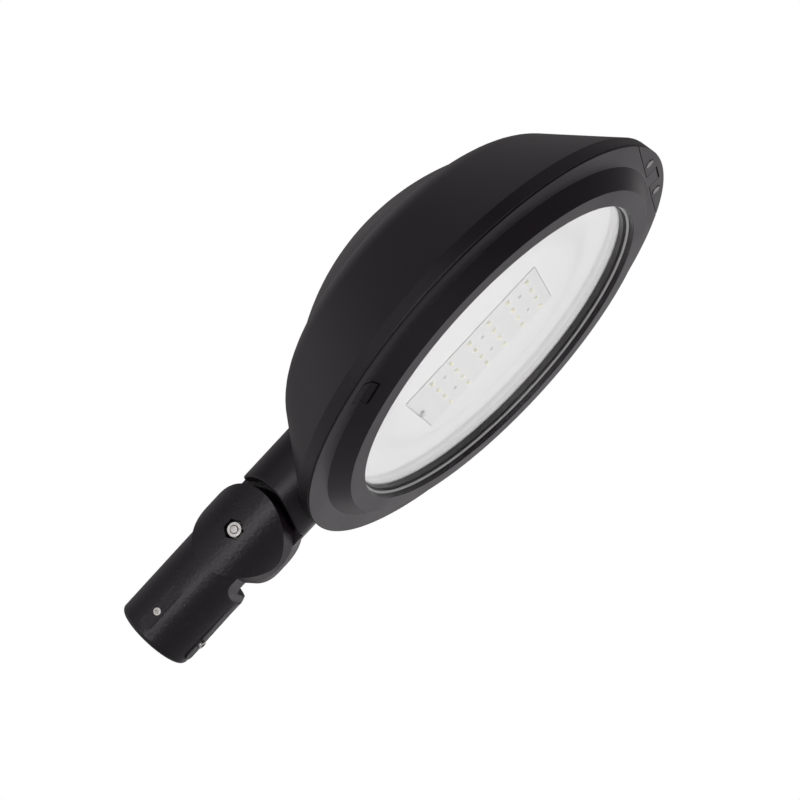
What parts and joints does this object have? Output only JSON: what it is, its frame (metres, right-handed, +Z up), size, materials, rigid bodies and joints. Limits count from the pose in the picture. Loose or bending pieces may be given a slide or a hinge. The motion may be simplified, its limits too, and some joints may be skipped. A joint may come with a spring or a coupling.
{
  "type": "led street light head",
  "caption": "Round charcoal LED street light head with a domed cap, a glazed white tray and a tilting pole socket held by a clamped knuckle.",
  "frame": {"origin": "centre of the pole socket's mouth", "axes": "+X along the socket from the pole to the head's tip, +Z up, +Y to the side of the bolt's head"},
  "size_m": [0.618, 0.44, 0.1653],
  "materials": {
    "black_casting": "satin",
    "black_sheet": "satin",
    "stainless": "satin",
    "seal_rubber": "matte",
    "clear_glass": "gloss",
    "white_tray": "satin",
    "white_board": "satin",
    "led_lens": "gloss",
    "white_plastic": "satin",
    "bare_aluminium": "satin",
    "gear_case": "matte",
    "black_plastic": "matte",
    "lead_sheath": "matte"
  },
  "bodies": {
    "spigot": {"spigot_casting": "black_casting", "pivot_bolt": "stainless", "pivot_nut": "stainless", "pivot_washers": "stainless", "side_grub_screw": "stainless", "lower_grub_screw": "stainless"},
    "head": {"upper_housing": "black_casting", "top_cap": "black_casting", "cap_seal": "seal_rubber", "cap_screws": "stainless", "glass_frame": "black_casting", "latch_plate": "black_casting", "latch_screws": "stainless", "side_hooks": "black_sheet", "body_seal": "seal_rubber", "glass_pane": "clear_glass", "glass_gasket": "seal_rubber", "glass_clips": "stainless", "clip_screws": "stainless", "mounting_plate": "bare_aluminium", "plate_screws": "stainless", "heat_spreader": "bare_aluminium", "reflector_tray": "white_tray", "led_board": "white_board", "led_packages": "led_lens", "board_screws": "stainless", "board_connector": "white_plastic", "led_driver": "gear_case", "driver_screws": "stainless", "surge_protector": "gear_case", "terminal_block": "white_plastic", "supply_lead": "lead_sheath", "cord_clamp": "black_plastic", "clamp_screws": "stainless"}
  },
  "joints": [
    {"name": "spigot_tilt", "type": "hinge", "parent": "spigot", "child": "head", "pos_m": [0.126, 0, 0], "axis": [0, 1, 0], "range_deg": [-15, 90]}
  ]
}
